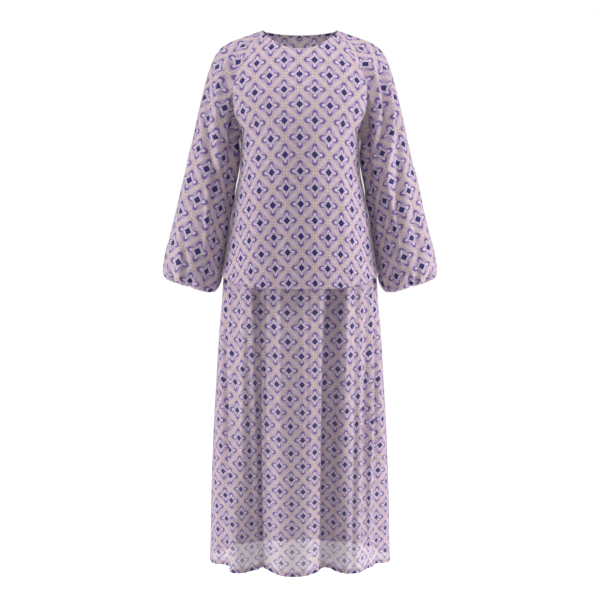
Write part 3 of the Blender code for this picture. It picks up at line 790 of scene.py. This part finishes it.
def printed_chiffon(name, cover):
    """Polyester crepe chiffon, printed: a matt crinkled yarn, so light spreads without a highlight and
    glows a little at grazing angles, and an open weave of which the yarn covers the share given."""
    material = bpy.data.materials.new(name)
    material.use_nodes = True
    tree = material.node_tree
    shader = tree.nodes["Principled BSDF"]

    def calc(operation, *values):
        return add(tree, "ShaderNodeMath", *values, operation=operation)

    def vector(operation, *values, out=0):
        return add(tree, "ShaderNodeVectorMath", *values, operation=operation, out=out)

    def ramp(value, low, high, start, end):
        return add(tree, "ShaderNodeMapRange", value, low, high, start, end, interpolation_type="SMOOTHSTEP")

    def within(value, edge, blur=EDGE_BLUR):
        return ramp(value, edge - blur, edge + blur, 1.0, 0.0)

    def beyond(value, edge, blur=EDGE_BLUR):
        return ramp(value, edge - blur, edge + blur, 0.0, 1.0)

    def mixed(factor, under, over, blend="MIX", kind="RGBA", first=6, out=2):
        node = tree.nodes.new("ShaderNodeMix")
        node.data_type = kind
        node.blend_type = blend
        feed(tree, [node.inputs[0], *node.inputs[first:first + 2]], (factor, under, over))
        return node.outputs[out]

    # Ink creeps along crepe yarn, so every printed edge wavers by about half a millimetre.
    cut = add(tree, "ShaderNodeUVMap", uv_map="cut")
    waver = add(tree, "ShaderNodeTexNoise", cut, None, WAVERS, 1.0, out=1)
    waver = vector("MULTIPLY", vector("SUBTRACT", waver, (0.5, 0.5, 0.5)), WAVER)
    place = vector("ADD", add(tree, "ShaderNodeUVMap", uv_map="print"), waver)

    # Distances across and down from the middle of the nearest motif, in two interleaved lattices.
    cells = []
    for shift in (0.5, 0.0):
        whole = vector("FRACTION", vector("ADD", place, (shift, shift, 0.0)))
        cells.append(vector("ABSOLUTE", vector("SUBTRACT", whole, (0.5, 0.5, 0.0))))
    reach = [vector("DOT_PRODUCT", cell, (1.0, 1.0, 0.0), out=1) for cell in cells]
    nearer = calc("LESS_THAN", reach[1], reach[0])
    nearest = mixed(nearer, *cells, kind="VECTOR", first=4, out=1)
    parts = add(tree, "ShaderNodeSeparateXYZ", nearest).node
    across, down = parts.outputs[0], parts.outputs[1]
    far = calc("MAXIMUM", across, down)
    low = calc("MINIMUM", across, down)
    diamond = calc("ADD", across, down)
    tall = calc("GREATER_THAN", down, across)

    # Streaks of thicker and thinner yarn, 1 mm wide and 6 mm long so that they show at this size.
    streak = add(tree, "ShaderNodeTexNoise", vector("MULTIPLY", cut, STREAKS), None, 1.0, 2.0)
    cloud = add(tree, "ShaderNodeTexNoise", cut, None, CLOUDS, 2.0)

    # The ground: beige, with patchy lavender around each motif and a faint bracket line at its edge.
    patch = add(tree, "ShaderNodeTexNoise", cut, None, PATCHES, 2.0)
    mottle = calc("MULTIPLY", ramp(patch, 0.32, 0.62, 0.45, 1.0), ramp(streak, 0.3, 0.7, 0.60, 1.0))
    veil = calc("MULTIPLY", within(diamond, VEIL_OUTER, VEIL_BLUR), beyond(diamond, VEIL_INNER, VEIL_BLUR))
    veil = calc("MULTIPLY", veil, mottle)
    frame_line = within(calc("ABSOLUTE", calc("SUBTRACT", diamond, BRACKET_AT)), BRACKET_HALF_WIDTH)
    frame_line = calc("MULTIPLY", frame_line, ramp(patch, 0.3, 0.7, 0.3, 0.9))
    veil = calc("MAXIMUM", veil, calc("MULTIPLY", frame_line, beyond(low, BRACKET_GAP, 0.025)))
    cloth = mixed(veil, linear(GROUND), linear(LAVENDER))

    # Tan specks in a small grid where the corners of four motifs meet.
    corner = beyond(far, CORNER_AT, 0.03)
    turns = 2.0 * math.pi / SPECK_SPACING
    waves = [calc("COSINE", calc("MULTIPLY", axis, turns)) for axis in (across, down)]
    specks = [ramp(wave, 0.2, 0.9, 0.0, 1.0) for wave in waves]
    speck = calc("MULTIPLY", calc("MULTIPLY", specks[0], specks[1]), corner)
    cloth = mixed(calc("MULTIPLY", speck, SPECK_INK), cloth, linear(TAN))

    # Four petals, each an arch open towards the middle; the upright ones are shorter and splay.
    splay = calc("MULTIPLY", calc("MAXIMUM", calc("SUBTRACT", PETAL_END, far), 0.0), TALL_PETAL_SPLAY)
    half = calc("MULTIPLY", low, calc("SUBTRACT", 1.0, calc("MULTIPLY", splay, tall)))
    end = calc("SUBTRACT", PETAL_END, calc("MULTIPLY", tall, TALL_PETAL_SHORTER))
    narrower = calc("MULTIPLY", tall, TALL_PETAL_NARROWER)
    squared = calc("MULTIPLY", half, half)
    rims = []
    for inset in (0.0, PETAL_STROKE + PETAL_TIP):
        past = calc("MAXIMUM", calc("SUBTRACT", calc("ADD", far, inset), end), 0.0)
        radius = calc("SQRT", calc("ADD", calc("MULTIPLY", past, past), squared))
        rims.append(calc("ADD", radius, narrower))
    outer = within(rims[0], PETAL_RADIUS)
    hollow = within(rims[1], PETAL_RADIUS - PETAL_STROKE)
    mouth = beyond(far, PETAL_MOUTH, PETAL_FADE)
    petal = calc("MULTIPLY", calc("SUBTRACT", outer, hollow), mouth)
    halo = calc("MAXIMUM", within(diamond, HALO_RADIUS, 0.04), calc("MULTIPLY", hollow, 0.9))
    cloth = mixed(halo, cloth, linear(HALO))
    cloth = mixed(calc("MULTIPLY", calc("MAXIMUM", petal, 0.0), PETAL_INK), cloth, linear(PETAL))

    # The middle: a diamond between square and round, with a thin spike on each tip.
    round_part = calc("MULTIPLY", vector("LENGTH", nearest, out=1), CORE_ROUND)
    core = within(calc("ADD", calc("MULTIPLY", diamond, CORE_SQUARE), round_part), CORE_RADIUS)
    spike = within(calc("ADD", far, calc("MULTIPLY", low, SPIKE_SLOPE)), SPIKE_REACH, 0.02)
    cloth = mixed(calc("MAXIMUM", core, calc("MULTIPLY", spike, SPIKE_INK)), cloth, linear(INDIGO))
    cloth = mixed(within(diamond, HEART_RADIUS, 0.03), cloth, linear(INDIGO_HEART))

    # Yarn shows through the ink everywhere.
    tone = calc("MULTIPLY", ramp(streak, 0.32, 0.68, 0.76, 1.14), ramp(cloud, 0.3, 0.7, 0.93, 1.03))
    tint = add(tree, "ShaderNodeCombineColor", tone, tone, tone)
    tree.links.new(mixed(1.0, cloth, tint, "MULTIPLY"), shader.inputs["Base Color"])

    # Crinkle of the crepe, about 1.5 mm across.
    crinkle = add(tree, "ShaderNodeTexNoise", cut, None, CRINKLES, 2.0)
    bump = tree.nodes.new("ShaderNodeBump")
    bump.inputs["Strength"].default_value = 0.30
    bump.inputs["Distance"].default_value = 0.0004
    tree.links.new(crinkle, bump.inputs["Height"])
    tree.links.new(bump.outputs[0], shader.inputs["Normal"])
    shader.inputs["Roughness"].default_value = 0.78
    shader.inputs["Specular IOR Level"].default_value = 0.25
    shader.inputs["Sheen Weight"].default_value = 0.30
    shader.inputs["Sheen Roughness"].default_value = 0.40
    shader.inputs["Sheen Tint"].default_value = linear("F0F0F8")
    shader.inputs["Alpha"].default_value = cover
    return material


def plain_material(name, code, roughness):
    """One even finish."""
    material = bpy.data.materials.new(name)
    material.use_nodes = True
    shader = material.node_tree.nodes["Principled BSDF"]
    shader.inputs["Base Color"].default_value = linear(code)
    shader.inputs["Roughness"].default_value = roughness
    return material


# Building


def finish_piece(piece, material, nodes=()):
    piece.data.materials.append(material)
    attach(piece, "root")
    if nodes:
        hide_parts(*nodes)


def creased(points, cut, creases, pleats=0.0, closed=False, flip=False):
    """The grid with its creases and pleats pressed in along its normals."""
    field = crease_field(cut, creases) + pleats
    return points + grid_normals(points, closed, flip) * field[..., None]


def edge_piece(name, points, cut, printed, depth, material, flip=False):
    """The edge of a sheet's last row, turned to the inside."""
    rise = arc_lengths(points[::-1], 0)[::-1]
    strip = turned_edge(points, grid_normals(points, False, flip), rise, depth)
    folded = turned_edge(cut, None, rise, depth)
    folded[..., 1] = 2.0 * folded[-1:, :, 1] - folded[..., 1]
    shown = turned_edge(printed, None, rise, depth)
    shown[..., 1] = 2.0 * shown[-1:, :, 1] - shown[..., 1]
    piece = cloth_mesh(name, strip, folded, shown, flip=flip)
    finish_piece(piece, material)
    return piece


def build_blouse(material):
    u = np.linspace(-1.0, 1.0, PANEL_ACROSS + 1)
    places = panel_places(len(BLOUSE_FRONT_ROWS), PANEL_ROWS_EACH)
    panels = (
        ("blouse_front", BLOUSE_FRONT_ROWS, BLOUSE_FRONT_FOLDS, FRONT, BLOUSE_FRONT_CREASES),
        ("blouse_back", BLOUSE_BACK_ROWS, BLOUSE_BACK_FOLDS, BACK, BLOUSE_BACK_CREASES),
    )
    for node, rows, folds, side, creases in panels:
        points = panel_grid(rows, folds, side, u, places)
        cut = panel_cut(points)
        points = creased(points, cut, creases, hem_roll(points, u, BLOUSE_HEM_ROLLS), flip=side == BACK)
        printed = panel_print(cut, BLOUSE_PRINT, BLOUSE_PRINT_SAG)
        piece = cloth_mesh(node + "_cloth", points, cut, printed, flip=side == BACK)
        finish_piece(piece, material, (node,))
        hem = edge_piece(node + "_hem", points, cut, printed, BLOUSE_HEM_TURN, material, side == BACK)
        neck = edge_piece(node + "_neck_edge", points[::-1], cut[::-1], printed[::-1], NECK_TURN,
                          material, side == FRONT)


def build_sleeves(material):
    around = np.linspace(0.0, 1.0, SLEEVE_AROUND + 1)
    cap = cap_grid(around, np.linspace(0.0, 1.0, CAP_DOWN + 1))[:-1]
    last = len(SLEEVE_ROWS) - 1
    places = np.linspace(0.0, last, last * SLEEVE_ROWS_EACH + 1)
    points = np.concatenate([cap, sleeve_ring(around, places)], axis=0)
    cut = sleeve_cut(points, CAP_DOWN + SLEEVE_WIDEST * SLEEVE_ROWS_EACH)
    points = fuller_inside(points, around)
    pleats = pleat_field(around, np.concatenate([np.zeros(CAP_DOWN), places]))
    neck_from, neck_to = np.searchsorted(around, [RAGLAN_SHARE, 1.0 - RAGLAN_SHARE])
    neck = np.s_[CAP_DOWN::-1, neck_from:neck_to + 1]
    sides = (
        ("left", 1.0, LEFT_SLEEVE_CREASES, LEFT_SLEEVE_PRINT),
        ("right", -1.0, RIGHT_SLEEVE_CREASES, RIGHT_SLEEVE_PRINT),
    )
    for side, sign, creases, place in sides:
        flip = sign < 0.0
        shaped = creased(points, cut, creases + SLEEVE_BACK_CREASES, pleats, closed=True)
        casing = cuff_casing(shaped)
        strip = strip_cut(casing)
        hung = shaped * np.array([sign, 1.0, 1.0])
        printed = sleeve_print(cut, place)
        piece = cloth_mesh(f"sleeve_{side}_cloth", hung, cut, printed, closed=True, flip=flip)
        finish_piece(piece, material, (f"sleeve_{side}",))
        edge = edge_piece(f"sleeve_{side}_neck_edge", hung[neck], cut[neck], printed[neck], NECK_TURN,
                          material, not flip)
        band = cloth_mesh(f"cuff_{side}_casing", casing * np.array([sign, 1.0, 1.0]), strip,
                          sleeve_print(strip, place), closed=True, flip=flip)
        finish_piece(band, material, (f"cuff_{side}",))


def cuff_casing(points):
    """The turned casing that stands up inside the sleeve from its gathered end."""
    row = SLEEVE_ROWS[-1]
    arm = unit(np.array([row.out_x - row.in_x, 0.0, row.out_z - row.in_z]))
    rise = np.array([-arm[2], 0.0, arm[0]])
    heights = np.linspace(0.0, CUFF_CASING_HEIGHT, CUFF_CASING_ROWS)
    return points[-1][None] + heights[::-1, None, None] * rise


def strip_cut(points):
    """The cut's coordinates of a band: u along its first line, v straight down its height."""
    along = arc_lengths(points[:1], 1)
    height = arc_lengths(points[:, :1], 0)
    return np.stack(np.broadcast_arrays(along, height), axis=-1)


def build_skirt(material):
    u = np.linspace(-1.0, 1.0, SKIRT_ACROSS + 1)
    places = panel_places(len(SKIRT_ROWS), SKIRT_ROWS_EACH)
    rims = []
    panels = (
        ("skirt_front", FRONT, SKIRT_FRONT_CREASES),
        ("skirt_back", BACK, SKIRT_BACK_CREASES),
    )
    for node, side, creases in panels:
        points = skirt_grid(side, u, places)
        cut = panel_cut(points)
        points = creased(points, cut, creases, hem_roll(points, u, SKIRT_HEM_ROLLS), flip=side == BACK)
        even = across_folds(points, skirt_grid(side, u, places, smooth=True), u)
        printed = panel_print(even, SKIRT_PRINT, 0.0)
        piece = cloth_mesh(node + "_cloth", points, cut, printed, flip=side == BACK)
        finish_piece(piece, material, (node,))
        hem = edge_piece(node + "_hem", points, cut, printed, SKIRT_HEM_TURN, material, side == BACK)
        rims.append(points[0])
    rim = np.concatenate([rims[0], rims[1][::-1][1:]])
    heights = np.linspace(WAISTBAND_HEIGHT, 0.0, WAISTBAND_ROWS)
    points = rim[None] + heights[:, None, None] * np.array([0.0, 0.0, 1.0])
    cut = strip_cut(points)
    band = cloth_mesh("skirt_waistband_casing", points, cut, panel_print(cut, SKIRT_PRINT, 0.0), closed=True)
    finish_piece(band, material, ("skirt_waistband",))


# Studio

CAMERA_DISTANCE = 3.70
CAMERA_HEIGHT = -0.406
LENS = 86.4
SENSOR_WIDTH = 36.0
PICTURE_SIZE = 600
HORIZON_ROW = 200  # pixels from the top of the picture
CAMERA_TILT = math.degrees(math.atan((PICTURE_SIZE / 2 - HORIZON_ROW) * SENSOR_WIDTH / (LENS * PICTURE_SIZE)))
FLOOR_HEIGHT = -1.50
FLOOR_GLOW = 0.05
ROOM_LIGHT = 0.060
SOFTBOXES = (
    ("left_softbox", (-2.1, -0.38, -1.05), (0.0, 0.0, -1.15), 0.8, 2.0, 39.0),
    ("right_softbox", (2.1, -0.38, -0.75), (0.0, 0.0, -0.85), 0.8, 2.0, 41.0),
    ("top_softbox", (0.0, -0.72, 1.2), (0.0, 0.0, -0.1), 1.8, 0.5, 19.0),
    ("front_softbox", (0.0, -3.2, -0.3), (0.0, 0.0, -1.1), 1.4, 1.4, 7.5),
    ("back_softbox", (0.0, 2.4, 0.2), (0.0, 0.0, -0.6), 1.8, 2.0, 22.0),
)
# A small lamp beside the camera that reaches in at the neck.
NECK_LAMP_PLACE = (0.0, -2.4, -0.10)
NECK_LAMP_TARGET = (0.0, 0.05, 0.0)
NECK_LAMP_CONE = 13.0
NECK_LAMP_POWER = 40.0


def softbox(name, place, target, width, height, power):
    light = bpy.data.lights.new(name, "AREA")
    light.shape = "RECTANGLE"
    light.size = width
    light.size_y = height
    hang_light(name, light, place, target, power)


def neck_lamp():
    light = bpy.data.lights.new("neck_lamp", "SPOT")
    light.spot_size = math.radians(NECK_LAMP_CONE)
    light.spot_blend = 1.0
    light.shadow_soft_size = 0.05
    hang_light("neck_lamp", light, NECK_LAMP_PLACE, NECK_LAMP_TARGET, NECK_LAMP_POWER)


def hang_light(name, light, place, target, power):
    light.energy = power
    lamp = bpy.data.objects.new(name, light)
    lamp.location = place
    lamp.rotation_euler = (Vector(target) - Vector(place)).to_track_quat("-Z", "Y").to_euler()
    bpy.context.scene.collection.objects.link(lamp)


def build_studio():
    scene = bpy.context.scene
    camera = bpy.data.cameras.new("camera")
    camera.lens = LENS
    camera.sensor_width = SENSOR_WIDTH
    eye = bpy.data.objects.new("camera", camera)
    eye.location = (0.0, -CAMERA_DISTANCE, CAMERA_HEIGHT)
    eye.rotation_euler = (math.radians(90.0 - CAMERA_TILT), 0.0, 0.0)
    scene.collection.objects.link(eye)
    scene.camera = eye

    bpy.ops.mesh.primitive_plane_add(size=30.0, location=(0.0, 0.0, FLOOR_HEIGHT))
    floor = bpy.context.active_object
    floor.name = "floor"
    white = plain_material("white_paper_floor", "F7F7F7", 0.9)
    shader = white.node_tree.nodes["Principled BSDF"]
    shader.inputs["Emission Color"].default_value = (1.0, 1.0, 1.0, 1.0)
    seen = white.node_tree.nodes.new("ShaderNodeLightPath").outputs["Is Camera Ray"]
    glow = add(white.node_tree, "ShaderNodeMapRange", seen, 0.0, 1.0, FLOOR_GLOW, 1.0)
    white.node_tree.links.new(glow, shader.inputs["Emission Strength"])
    floor.data.materials.append(white)

    for name, place, target, width, height, power in SOFTBOXES:
        softbox(name, place, target, width, height, power)
    neck_lamp()

    world = bpy.data.worlds.new("studio")
    world.use_nodes = True
    scene.world = world
    tree = world.node_tree
    tree.nodes.clear()
    seen = tree.nodes.new("ShaderNodeLightPath").outputs["Is Camera Ray"]
    room = add(tree, "ShaderNodeBackground", (1.0, 1.0, 1.0, 1.0), ROOM_LIGHT)
    white_wall = add(tree, "ShaderNodeBackground", (1.0, 1.0, 1.0, 1.0), 1.0)
    mixed = add(tree, "ShaderNodeMixShader", seen, room, white_wall)
    output = tree.nodes.new("ShaderNodeOutputWorld")
    tree.links.new(mixed, output.inputs["Surface"])
    scene.view_settings.view_transform = "Standard"


def main():
    dense_chiffon = printed_chiffon("printed_crepe_chiffon_close_weave", CLOSE_WEAVE_COVER)
    sheer_chiffon = printed_chiffon("printed_crepe_chiffon_open_weave", OPEN_WEAVE_COVER)
    build_studio()
    build_blouse(dense_chiffon)
    build_sleeves(dense_chiffon)
    build_skirt(sheer_chiffon)


main()
